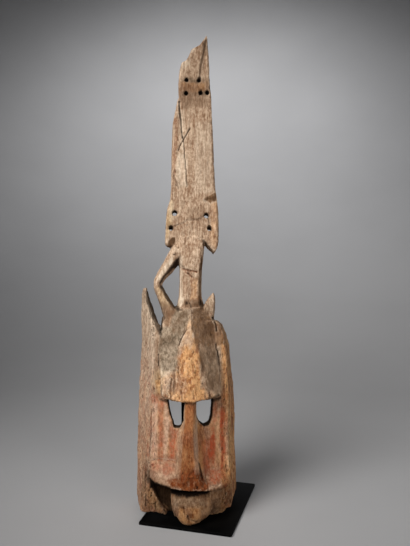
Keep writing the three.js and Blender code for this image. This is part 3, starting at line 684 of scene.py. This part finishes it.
@dataclass(frozen=True)
class WeatheredWood:
    """Dry old carved wood with worn earth colours, patina and bare places, with painted shade in its
    hollows and cracks and some painted light.
    """

    tan_deep: Colour = linear(148, 114, 88)
    tan_light: Colour = linear(212, 186, 160)
    pale: Colour = linear(232, 212, 188)
    grey_deep: Colour = linear(104, 90, 72)
    grey_light: Colour = linear(180, 160, 138)
    brown_deep: Colour = linear(66, 43, 26)
    brown_light: Colour = linear(134, 102, 74)
    bare_deep: Colour = linear(158, 96, 52)
    bare_light: Colour = linear(224, 171, 119)
    ochre: Colour = linear(218, 188, 140)
    chalk: Colour = linear(226, 196, 170)
    red: Colour = linear(170, 82, 52)
    rust: Colour = linear(112, 50, 18)
    # Painted shade: near black laid in cracks, hollows, holes and unlit places, and a grey multiplied over
    # darker parts.
    crevice: Colour = linear(19, 9, 4)
    shade: Colour = linear(150, 136, 122)
    grit: Colour = (0.62, 0.56, 0.50)
    clean: Colour = (1.16, 1.16, 1.16)
    roughness: float = 0.86
    gloss: float = 0.08

    def make(self) -> bpy.types.Material:
        """Builds the wood.

        Returns:
            The finished material.
        """
        s = Sheet("weathered_wood")
        stored = [channel for name in LAYER_NAMES for channel in s.layer(name)]
        zone = dict(zip(Tone, stored))
        streak = s.noise((3.4, 3.4, 36), 5, 0.62, 0.3)
        fibre = s.noise((1.3, 1.3, 14), 4, 0.6)
        blotch = s.noise((26, 26, 40), 5, 0.6)
        flake = s.noise((5.5, 5.5, 10), 6, 0.68)
        mottle = s.noise((4.2, 4.2, 6.6), 4, 0.68)
        slit = s.noise((2.7, 2.7, 9.0), 3, 0.66, 0.5)

        grain = s.total((streak, 0.3), (fibre, 0.2), (blotch, 0.2), (mottle, 0.3))
        tone = s.rise(grain, 0.4, 0.6)
        slits = s.rise(s.math("MULTIPLY_ADD", flake, 0.9, slit), 1.02, 1.16)
        slits = s.math("MULTIPLY", slits, zone[CHECK])
        clouds = s.math("ADD", flake, blotch)
        worked = s.blend(s.rise(s.math("ADD", flake, mottle), 0.84, 1.14), self.grit, self.clean)
        bared = s.blend(s.rise(clouds, 0.84, 1.12), self.bare_deep, self.bare_light)
        greyed = s.blend(s.rise(clouds, 0.8, 1.2), self.grey_deep, self.grey_light)
        rusted = s.blend(tone, self.rust, self.bare_deep)
        browned = s.blend(tone, self.brown_deep, self.brown_light)

        colour = s.blend(tone, self.tan_deep, self.tan_light)
        # Paint, patina and bare wood laid in turn; PALE is partly painted light and DARK partly painted
        # shade.
        for laid, pattern, flaky, over in (
            (PALE, streak, 0.8, self.pale), (BARE, blotch, 0.7, bared), (OCHRE, mottle, 0.9, self.ochre),
            (GREY, blotch, 0.8, greyed), (RUST, flake, 0.9, rusted), (DARK, mottle, 0.7, browned),
            (CHALK, flake, 1.0, self.chalk), (RED, flake, 1.0, self.red),
        ):
            colour = s.blend(self._worn(s, zone[laid], pattern, flaky), colour, over)
        # Then pale worn edges, grit, brown drying checks, SHADE multiplied in as painted shade, and
        # near-black painted shade in crevices.
        for share, over, kind in (
            (s.math("MULTIPLY", zone[EDGE], s.rise(flake, 0.3, 0.7)), self.pale, "MIX"),
            (0.5, worked, "MULTIPLY"), (s.math("MULTIPLY", slits, 0.85), self.brown_deep, "MIX"),
            (zone[SHADE], self.shade, "MULTIPLY"), (zone[CREVICE], self.crevice, "MIX"),
        ):
            colour = s.blend(share, colour, over, kind)
        s.coat(colour, s.math("MULTIPLY_ADD", streak, 0.14, self.roughness - 0.07), self.gloss)
        s.raise_by(s.total((fibre, 0.4), (flake, 0.35), (mottle, 0.3), (slits, -0.5)), 1.1, 0.85)
        return s.material

    @staticmethod
    def _worn(
        s: Sheet, share: bpy.types.NodeSocket, pattern: bpy.types.NodeSocket, flaky: float
    ) -> bpy.types.NodeSocket:
        """Wears a stored share thin where a pattern is low; flaky says how much."""
        kept = s.math("MULTIPLY_ADD", s.rise(pattern, 0.36, 0.64), flaky, 1.0 - 0.5 * flaky)
        return s.math("MINIMUM", s.math("MULTIPLY", share, kept), 1.0)


@dataclass(frozen=True)
class BlackSteel:
    """Flat bar and plate with a satin black coat, slightly rubbed in cloudy patches."""

    coat: Colour = (0.0018, 0.0018, 0.0020)
    rubbed: Colour = (0.0042, 0.0038, 0.0034)
    roughness: float = 0.5
    gloss: float = 0.03

    def make(self) -> bpy.types.Material:
        """Builds the coat.

        Returns:
            The finished material.
        """
        s = Sheet("satin_black_coat")
        cloud = s.noise((34, 34, 34), 5, 0.6)
        grit = s.noise((0.9, 0.9, 0.9), 3, 0.6)
        colour = s.blend(s.rise(cloud, 0.35, 0.75), self.coat, self.rubbed)
        s.coat(colour, s.math("MULTIPLY_ADD", cloud, 0.2, self.roughness - 0.1), self.gloss)
        s.raise_by(grit, 0.06, 0.5)
        return s.material


@dataclass(frozen=True)
class StudioGrey:
    """Seamless pale grey paper for the floor and the curve behind it."""

    light: Colour = (0.49, 0.49, 0.50)
    deep: Colour = (0.46, 0.46, 0.47)
    roughness: float = 0.8
    gloss: float = 0.2

    def make(self) -> bpy.types.Material:
        """Builds the paper.

        Returns:
            The finished material.
        """
        s = Sheet("studio_grey")
        cloud = s.noise((600, 600, 600), 3, 0.5)
        s.coat(s.blend(s.rise(cloud, 0.3, 0.7), self.deep, self.light), self.roughness, self.gloss)
        return s.material


def fit(piece: bpy.types.Object, slot: str, *nodes: str) -> None:
    """Ties a finished piece to the part and hides the given nodes."""
    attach(piece, BODY)
    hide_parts(*nodes)
    LOG.info("%s: %d faces", piece.name, len(piece.data.polygons))


@dataclass
class CarvedMask:
    """The mask, carved from one piece of wood, with its relief, wear, paint and painted shade and light."""

    node: str = "mask"
    slot: str = "weathered_wood"
    voxel: float = 1.5
    triangles: int = 192000
    skin_passes: int = 3
    deepest_cut: float = 6.0
    scores: tuple[Score, ...] = tuple(Score(*row[:5], pairs(row[5:])) for row in SCORE_ROWS)
    patches: tuple[Patch, ...] = (
        *(Patch(*row[:4], NO_LIMIT, row[4], False, pairs(row[5:])) for row in FRONT_ROWS),
        *(Patch(*row[:7], pairs(row[7:])) for row in DEEP_ROWS),
    )

    def build(self, packed: bpy.types.Object) -> bpy.types.Object:
        """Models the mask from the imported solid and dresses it.

        Args:
            packed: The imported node.

        Returns:
            The finished piece.
        """
        piece = self._blank(packed)
        self._carve(piece)
        self._colour(piece)
        self._thin(piece)
        piece.data.materials.clear()
        piece.data.materials.append(WeatheredWood().make())
        piece.data.shade_smooth()
        fit(piece, self.slot, self.node)
        return piece

    def _blank(self, packed: bpy.types.Object) -> bpy.types.Object:
        """Copies the solid and gives it an even, dense skin.

        Args:
            packed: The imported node.

        Returns:
            The dense piece.
        """
        piece = add("carved_mask", packed.data.copy())
        with editing():
            bpy.ops.mesh.remove_doubles(threshold=1e-6)
        remesh = piece.modifiers.new("skin", "REMESH")
        remesh.mode = "VOXEL"
        remesh.voxel_size = self.voxel * MM
        bpy.ops.object.modifier_apply(modifier=remesh.name)
        soften = piece.modifiers.new("soften", "SMOOTH")
        soften.factor = 0.5
        soften.iterations = self.skin_passes
        bpy.ops.object.modifier_apply(modifier=soften.name)
        return piece

    @staticmethod
    def _score_share(skin: Skin, score: Score) -> np.ndarray:
        """How deep each point lies in a crack, 0 to 1.

        Args:
            skin: The dense skin.
            score: The crack.

        Returns:
            One share for each point.
        """
        near = skin.around(score.path, 3.0 * score.width + score.wander, NO_LIMIT, score.far)
        near &= skin.normals[:, 1] < -0.15
        share = np.zeros(len(near))
        spots, seen = skin.points[near], skin.seen[near]
        if len(spots):
            seen[:, 0] += score.wander * Lattice.single(spots, (9, 9, 9), 71)
            uneven = 1.0 + 0.35 * Lattice.single(spots, (7, 7, 12), 72)
            away = path_distance(seen, score.path)
            share[near] = ramp(score.width * uneven, score.width * 0.25, away)
        return share

    def _zones(self, skin: Skin) -> dict[str, np.ndarray]:
        """Soft shares of the mask's main regions, bounded in millimetres.

        Args:
            skin: The dense skin.

        Returns:
            A share from 0 to 1 for each region and point.
        """
        x, y, z = skin.points.T
        front = ramp(0.1, 0.6, -skin.normals[:, 1])
        brow = ramp(252, 262, z) * ramp(440, 415, z) * ramp(64, 56, np.abs(x)) * front
        return {
            "crest": ramp(470, 500, z),
            "wall": np.maximum(ramp(-62, -68, x), ramp(60, 68, x)) * ramp(470, 455, z),
            "brow": brow,
            "worn": self._worn_brow(skin) * brow,
            "ridge": ramp(24, 14, np.abs(x - 2)) * ramp(318, 300, z),
            "cheek": ramp(100, 112, z) * ramp(264, 254, z) * ramp(80, 72, np.abs(x)) * front,
            "lip": ramp(70, 76, z) * ramp(126, 112, z) * ramp(-60, -68, y) * front,
            "jaw": ramp(80, 72, z) * ramp(-30, -45, y),
            "inside": self._inside(skin),
        }

    @staticmethod
    def _inside(skin: Skin) -> np.ndarray:
        """Share of the carved hollow behind the face."""
        x, y, z = skin.points.T
        across, back = skin.normals[:, 0], skin.normals[:, 1]
        centre = ramp(92, 84, np.abs(x)) * ramp(-60, -48, y) * ramp(402, 396, z)
        inward = np.maximum(ramp(0.2, 0.7, back), ramp(0.2, 0.7, -np.sign(x) * across))
        return centre * inward

    @staticmethod
    def _hole_wall_shade(skin: Skin) -> np.ndarray:
        """Share of painted shade on the sides of the eye holes and of the bores through the plank."""
        x, y, z = skin.points.T
        across = ramp(0.8, 0.5, np.abs(skin.normals[:, 1]))
        eyes = ramp(56, 53, np.abs(x)) * ramp(184, 190, z) * ramp(262, 258, z) * ramp(-46, -50, y)
        eyes *= ramp(-71.5, -69, y)
        upper = ramp(826, 829, z) * ramp(872, 868, z) * ramp(46, 44, x) * ramp(-9, -7, x)
        lower = ramp(560, 568, z) * ramp(620, 616, z) * ramp(-38, -36, x) * ramp(48, 46, x)
        bores = (upper + 0.8 * lower) * ramp(-39, -37, y) * ramp(-17, -19, y)
        return np.minimum(0.95 * across * (eyes + bores), 1.0)

    @staticmethod
    def _worn_brow(skin: Skin) -> np.ndarray:
        """Share of the worm-eaten lower part of the forehead."""
        outline = pairs((-56, 250, -58, 300, -46, 304, -32, 306, -26, 330, -12, 350, 0, 356, 6, 345,
                         12, 318, 20, 296, 30, 278, 42, 262, 48, 250))
        shift = [Lattice.layers(skin.points, (14, 14, 18), seed) for seed in (41, 42)]
        return ramp(-7.0, 7.0, inside_outline(skin.seen + 9.0 * np.stack(shift, 1), outline))

    def _carve(self, piece: bpy.types.Object) -> None:
        """Cuts grain, tool marks, worm damage, chips and cracks into the skin.

        Args:
            piece: The dense piece.
        """
        skin = Skin(piece)
        p = skin.points
        zone = self._zones(skin)
        edge = ramp(0.25, 1.2, -skin.hollowness(14))

        furrow = Lattice.layers(p, (4.2, 4.2, 46), 11, 3)
        slits = ramp(0.15, 0.6, Lattice.layers(p, (3.4, 3.4, 13), 16, 2))
        lumps = Lattice.layers(p, (17, 17, 26), 12, 2)
        pits = Lattice.layers(p, (4.4, 4.4, 8.5), 13, 2)
        coarse_pits = Lattice.layers(p, (8, 8, 15), 14, 2)
        chips = Lattice.layers(p, (11, 11, 17), 15, 3)

        rough = 0.5 + 0.9 * zone["wall"] - 0.2 * zone["cheek"] + 0.45 * zone["jaw"]
        rough += 0.4 * zone["crest"] * ramp(620, 560, p[:, 2])
        depth = 0.35 + 0.6 * rough * furrow + 0.7 * lumps
        depth += rough * (1.3 * ramp(0.2, 0.7, pits) + 0.9 * slits)
        depth += zone["worn"] * (1.2 + (1.0 - 0.7 * zone["ridge"]) * (
            2.0 * ramp(0.0, 0.7, pits) + 1.6 * ramp(0.0, 0.7, coarse_pits)))
        depth += zone["lip"] * ramp(-88, -104, p[:, 1]) * (
            0.3 + 1.7 * ramp(0.0, 0.5, coarse_pits) + 1.0 * ramp(0.1, 0.6, pits))
        depth += edge * (0.2 + 2.2 * ramp(0.2, 0.8, chips)) * (1.0 - 0.6 * zone["lip"])
        depth += zone["inside"] * 1.3 * (0.7 - np.abs(Lattice.single(p, (15, 15, 24), 21)))
        for score in self.scores:
            depth += score.depth * self._score_share(skin, score)
        depth = np.clip(depth, 0.0, self.deepest_cut)
        moved = (p - skin.normals * depth[:, None]) * MM
        piece.data.vertices.foreach_set("co", moved.astype(np.float32).ravel())
        piece.data.update()

    @staticmethod
    def _patch_share(skin: Skin, patch: Patch) -> np.ndarray:
        """How much of a patch lies on each point.

        Args:
            skin: The dense skin.
            patch: The patch.

        Returns:
            One share for each point.
        """
        near = skin.around(patch.outline, patch.soft + patch.ragged, patch.near, patch.far)
        share = np.zeros(len(near))
        spots = skin.points[near]
        if len(spots):
            shift = Lattice.layers(spots, (7, 7, 22), 51, 3)
            distance = inside_outline(skin.seen[near], patch.outline) + patch.ragged * 0.5 * shift
            share[near] = patch.strength * ramp(-0.5 * patch.soft, 0.5 * patch.soft, distance)
        return share if patch.all_round else share * skin.front

    def _colour(self, piece: bpy.types.Object) -> None:
        """Stores where paint, patina, bare wood, dirt and wear lie, and where shade and light are painted.

        Args:
            piece: The carved piece.
        """
        skin = Skin(piece)
        x, _, z = skin.points.T
        zone = self._zones(skin)
        layers = {tone: np.zeros(len(x)) for tone in Tone}
        for patch in self.patches:
            layers[patch.tone] = np.maximum(layers[patch.tone], self._patch_share(skin, patch))

        worn, cheek, lip, jaw = (zone[name] for name in ("worn", "cheek", "lip", "jaw"))
        outer = 1.0 - zone["inside"]
        centre = ramp(34, 16, np.abs(x - 4))
        broad = Lattice.layers(skin.points, (40, 40, 90), 61, 3)
        checks = ramp(0.0, 0.5, Lattice.layers(skin.points, (9, 9, 11), 62, 2))
        back = ramp(0.2, 0.8, skin.normals[:, 1])
        down = -skin.normals[:, 2]
        left_wall, right_wall = (zone["wall"] * outer * side for side in (x < 0, x > 0))

        for tone in (GREY, DARK):
            layers[tone] *= 1.0 - 0.85 * worn
        for tone, share in (
            (BARE, worn * (0.45 + 0.45 * centre)),
            (BARE, right_wall * (0.5 + 0.3 * broad) * ramp(410, 370, z)),
            # More bare orange towards the bottom: a painted warm reflection.
            (BARE, 0.2 * ramp(330, 200, z) * outer),
            (PALE, left_wall * (0.3 + 0.3 * broad) * ramp(120, 200, z)),
            (RED, left_wall * (0.12 + 0.2 * checks) * ramp(430, 240, z)),
            (RED, right_wall * 0.25 * checks * ramp(330, 200, z)),
            (CHECK, left_wall + 0.9 * right_wall + 0.45 * jaw),
            (CHECK, worn * (0.8 - 0.35 * zone["ridge"])),
            (CHECK, 0.4 * zone["brow"] * (1.0 - worn) + 0.12 * zone["crest"] + 0.3 * lip),
            # Painted shade: darker towards the bottom.
            (SHADE, 0.2 * ramp(110, 40, z) * outer),
            (RED, 0.12 * cheek + 0.1 * lip),
            (BARE, 0.25 * cheek + 0.3 * jaw),
            (BARE, 0.35 * right_wall * ramp(240, 160, z)),
            # Painted shade in the hollow and on faces turned down; the next row darkens faces turned to the
            # back.
            (DARK, 0.75 * zone["inside"] + 0.5 * ramp(0.3, 0.8, down)),
            (DARK, 0.3 * back * (1.0 + broad)),
            (DARK, 0.12 * ramp(0.1, 0.6, broad) * (1.0 - cheek)),
        ):
            layers[tone] += share

        fine, wide = skin.hollowness(4), skin.hollowness(26)
        crack, light = np.zeros((2, len(x)))
        # Cracks are darkened by stains and painted shade; negative values lighten scratches.
        for score in self.scores:
            share = self._score_share(skin, score)
            crack = np.maximum(crack, max(score.stain_and_shade, 0.0) * share)
            light = np.maximum(light, max(-score.stain_and_shade, 0.0) * share)
        # Painted shade in hollows and creases, weaker on the worn brow, on the lip's upper part and in the
        # nearly closed seam.
        deep = (0.62 * ramp(0.15, 0.8, fine) + 0.3 * ramp(0.8, 2.6, wide)) * (1.0 - 0.4 * worn)
        deep *= 1.0 - 0.9 * lip * ramp(77, 81, z)
        deep *= 1.0 - 0.6 * self._tight_seam(x, z) * outer
        brow_shade = 0.75 * ramp(0.4, 0.8, down) * ramp(236, 250, z) * ramp(270, 262, z)
        layers[CREVICE] = np.maximum.reduce(
            [layers[CREVICE], crack, deep, brow_shade, self._hole_wall_shade(skin)])
        layers[EDGE] = np.maximum(light, 0.5 * ramp(0.12, 0.6, -fine) * (1.0 - 0.95 * lip))
        self._store(piece, np.clip(np.stack(list(layers.values()), 1), 0.0, 1.0))

    @staticmethod
    def _tight_seam(x: np.ndarray, z: np.ndarray) -> np.ndarray:
        """Share of the seam between forehead and walls where it is nearly closed."""
        seam = ramp(44, 49, np.abs(x)) * ramp(70, 64, np.abs(x)) * ramp(255, 265, z) * ramp(398, 390, z)
        gaping = ramp(-8, 0, x) * ramp(376, 382, z) + ramp(-8, -14, x) * ramp(380, 386, z)
        gaping += ramp(14, 10, np.abs(z - np.where(x < 0, 320, 334)))
        return seam * np.clip(1.0 - gaping, 0.0, 1.0)

    @staticmethod
    def _store(piece: bpy.types.Object, layers: np.ndarray) -> None:
        """Writes the layers, one column for each tone, to the mesh, three to a colour."""
        for k, name in enumerate(LAYER_NAMES):
            stored = piece.data.color_attributes.new(name, "FLOAT_COLOR", "POINT")
            values = np.ones((len(layers), 4), np.float32)
            values[:, :3] = layers[:, 3 * k : 3 * k + 3]
            stored.data.foreach_set("color", values.ravel())

    def _thin(self, piece: bpy.types.Object) -> None:
        """Drops triangles where the skin is plain, most of all in the hollow.

        Args:
            piece: The carved and coloured piece.
        """
        inside = self._inside(Skin(piece)) > 0.5
        group = piece.vertex_groups.new(name="plain")
        for share, points in ((1.0, inside), (0.25, ~inside)):
            group.add(np.flatnonzero(points).tolist(), share, "REPLACE")
        thin = piece.modifiers.new("thin", "DECIMATE")
        thin.ratio = self.triangles / (2.0 * len(piece.data.polygons))
        thin.vertex_group = group.name
        thin.vertex_group_factor = 1.0
        bpy.ops.object.modifier_apply(modifier=thin.name)
        piece.vertex_groups.clear()


@dataclass
class SteelStand:
    """The flat base plate and the square post that carries the mask."""

    slot: str = "black_steel"
    plate_size: Point2 = (187.0, 232.5)
    plate_thickness: float = 6.0
    plate_centre: Point2 = (27.4, 1.2)
    plate_turn: float = -20.25
    post_side: float = 12.0
    post_centre: Point2 = (-5.5, 0.0)
    post_top: float = 403.0
    plate_edge: float = 0.7
    post_edge: float = 1.0
    edge_steps: int = 3
    crease: float = 40.0

    def build(self) -> list[bpy.types.Object]:
        """Models and dresses both bars of the stand.

        Returns:
            The plate and the post.
        """
        coat = BlackSteel().make()
        post_height = self.post_top - self.plate_thickness
        plate = self._bar("base_plate", (*self.plate_size, self.plate_thickness),
                          (*self.plate_centre, 0.0), self.plate_edge, self.plate_turn)
        post = self._bar("holding_post", (self.post_side, self.post_side, post_height),
                         (*self.post_centre, self.plate_thickness), self.post_edge, 0.0)
        for piece, node in ((plate, "stand_plate"), (post, "stand_post")):
            piece.data.materials.append(coat)
            fit(piece, self.slot, node)
        return [plate, post]

    def _bar(
        self, name: str, size: tuple, foot: tuple, edge: float, turn: float
    ) -> bpy.types.Object:
        """Models one flat or square bar with rounded edges.

        Args:
            name: The piece's name.
            size: Its width, depth and height.
            foot: The middle of its underside.
            edge: Radius of its edges.
            turn: Its turn about Z, in degrees.

        Returns:
            The piece.
        """
        bpy.ops.object.select_all(action="DESELECT")
        bpy.ops.mesh.primitive_cube_add(size=1.0)
        piece = bpy.context.object
        piece.name = piece.data.name = name
        piece.scale = [s * MM for s in size]
        piece.rotation_euler = (0.0, 0.0, math.radians(turn))
        piece.location = (foot[0] * MM, foot[1] * MM, (foot[2] + size[2] / 2) * MM)
        bpy.ops.object.transform_apply(location=True, rotation=True, scale=True)
        with editing():
            bpy.ops.mesh.bevel(offset=edge * MM, segments=self.edge_steps, affect="EDGES", profile=0.5)
        bpy.ops.object.shade_smooth_by_angle(angle=math.radians(self.crease))
        return piece


@dataclass
class Studio:
    """Pale grey sweep all round, soft lights and the camera."""

    floor_radius: float = 0.9
    cove_radius: float = 3.2
    wall_height: float = 5.0
    cove_steps: int = 32
    spin_steps: int = 96
    eye: tuple[float, float, float] = (-0.08107, -1.35007, 0.658)
    turn: float = -5.0
    pitch: float = 7.1
    lens: float = 44.84
    sensor: float = 36.0

    def build(self) -> None:
        """Sets up the sweep, the lights and the camera."""
        self._sweep()
        self._lights()
        self._camera()
        bpy.context.scene.view_settings.view_transform = "Standard"
        LOG.info("studio: sweep, lights and camera")

    def _sweep(self) -> None:
        """Spins a floor, a cove and a wall round the object."""
        profile = [(0.0, 0.0), (0.5, 0.0), (self.floor_radius, 0.0)]
        for i in range(1, self.cove_steps + 1):
            a = math.pi / 2 * i / self.cove_steps
            profile.append((self.floor_radius + self.cove_radius * math.sin(a),
                            self.cove_radius * (1 - math.cos(a))))
        profile.append((self.floor_radius + self.cove_radius, self.wall_height))
        mesh = bpy.data.meshes.new("studio_sweep")
        mesh.from_pydata([(r, 0.0, h) for r, h in profile],
                         [(i, i + 1) for i in range(len(profile) - 1)], [])
        sweep = add("studio_sweep", mesh)
        with editing():
            bpy.ops.mesh.spin(steps=self.spin_steps, angle=math.tau, center=(0, 0, 0), axis=(0, 0, 1))
            bpy.ops.mesh.select_all(action="SELECT")
            bpy.ops.mesh.remove_doubles(threshold=1e-5)
            bpy.ops.mesh.normals_make_consistent(inside=True)
        mesh.shade_smooth()
        mesh.materials.append(StudioGrey().make())

    def _lights(self) -> None:
        """Places the key, fill and back lights, the one on the sweep and the room's faint light."""
        for name, place, aim, size, watts, tint in (
            ("fill_light", (1.3, -1.8, 0.7), (0.0, 0.0, 0.3), 1.2, 14.0, (1.0, 0.97, 0.93)),
            ("back_light", (0.3, 1.3, 2.0), (0.0, 0.0, 0.5), 1.2, 4.0, (1.0, 1.0, 1.0)),
        ):
            data = bpy.data.lights.new(name, "AREA")
            data.size = size
            self._hang(data, place, aim, watts, tint)
        for name, place, aim, angle, radius, watts, tint in (
            ("key_light", (-1.02, -1.08, 1.5), (0.0, 0.0, 0.5), 62.0, 0.62, 196.0, (1.0, 0.985, 0.96)),
            ("sweep_light", (0.29, 2.3, 2.28), (0.37, 2.98, 1.05), 140.0, 0.3, 92.0, (1.0, 1.0, 1.0)),
        ):
            data = bpy.data.lights.new(name, "SPOT")
            data.spot_size = math.radians(angle)
            data.spot_blend = 1.0
            data.shadow_soft_size = radius
            self._hang(data, place, aim, watts, tint)
        world = bpy.data.worlds.new("studio_air")
        world.use_nodes = True
        background = world.node_tree.nodes["Background"]
        background.inputs["Color"].default_value = (0.95, 0.97, 1.0, 1.0)
        background.inputs["Strength"].default_value = 0.06
        bpy.context.scene.world = world

    @staticmethod
    def _hang(data: bpy.types.Light, place: tuple, aim: tuple, watts: float, tint: Colour) -> None:
        """Hangs one lamp and aims it.

        Args:
            data: Its light.
            place: Where it hangs.
            aim: Where it points.
            watts: How strong it is.
            tint: Its colour.
        """
        data.energy, data.color = watts, tint
        lamp = add(data.name, data)
        lamp.location = place
        lamp.rotation_euler = (Vector(place) - Vector(aim)).to_track_quat("Z", "Y").to_euler()
        lamp.visible_camera = False

    def _camera(self) -> None:
        """Places the camera at the photograph's viewpoint."""
        data = bpy.data.cameras.new("studio_camera")
        data.lens = self.lens
        data.sensor_width = self.sensor
        data.clip_start, data.clip_end = 0.05, 50.0
        camera = add("studio_camera", data)
        camera.location = self.eye
        camera.rotation_euler = (math.radians(90.0 - self.pitch), 0.0, math.radians(self.turn))
        bpy.context.scene.camera = camera


def main() -> None:
    """Builds the studio and the dressed part."""
    logging.basicConfig(level=logging.INFO, format="%(message)s")
    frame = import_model()
    Studio().build()
    CarvedMask().build(frame["nodes"]["mask"])
    SteelStand().build()


if __name__ == "__main__":
    main()
